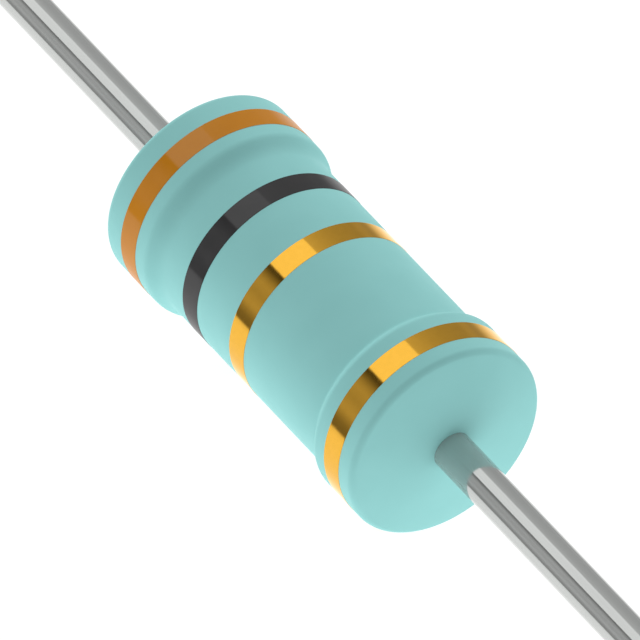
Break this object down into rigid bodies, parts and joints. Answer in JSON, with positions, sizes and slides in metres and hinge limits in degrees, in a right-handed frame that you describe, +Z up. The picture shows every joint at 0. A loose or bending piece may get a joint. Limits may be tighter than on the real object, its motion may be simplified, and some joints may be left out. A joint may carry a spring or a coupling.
{
  "type": "axial resistor",
  "caption": "Axial film resistor: a lacquered dog-bone body with colour bands round it and a straight tinned wire lead out of each end.",
  "frame": {"origin": "middle of the body, on the axis of its leads", "axes": "+X along the leads, from the orange band's end towards the gold band's end; +Z up, across the leads"},
  "size_m": [0.065, 0.0042, 0.0043],
  "materials": {
    "core_ceramic": "matte, fired white alumina",
    "metal_glaze": "satin, dark fired film",
    "cap_steel": "dull tin plate on pressed steel",
    "tinned_wire": "bright drawn and tinned wire",
    "teal_lacquer": "matte, pale grey-teal lacquer",
    "orange_paint": "glossy, orange printing paint",
    "black_paint": "glossy, black printing paint",
    "gold_paint": "glossy, metallic gold printing paint"
  },
  "bodies": {
    "root": {"ceramic_core": "core_ceramic", "resistive_film": "metal_glaze", "left_end_cap": "cap_steel", "right_end_cap": "cap_steel", "left_lead": "tinned_wire", "right_lead": "tinned_wire", "coating": "teal_lacquer", "first_digit_band": "orange_paint", "second_digit_band": "black_paint", "multiplier_band": "gold_paint", "tolerance_band": "gold_paint"}
  },
  "joints": []
}
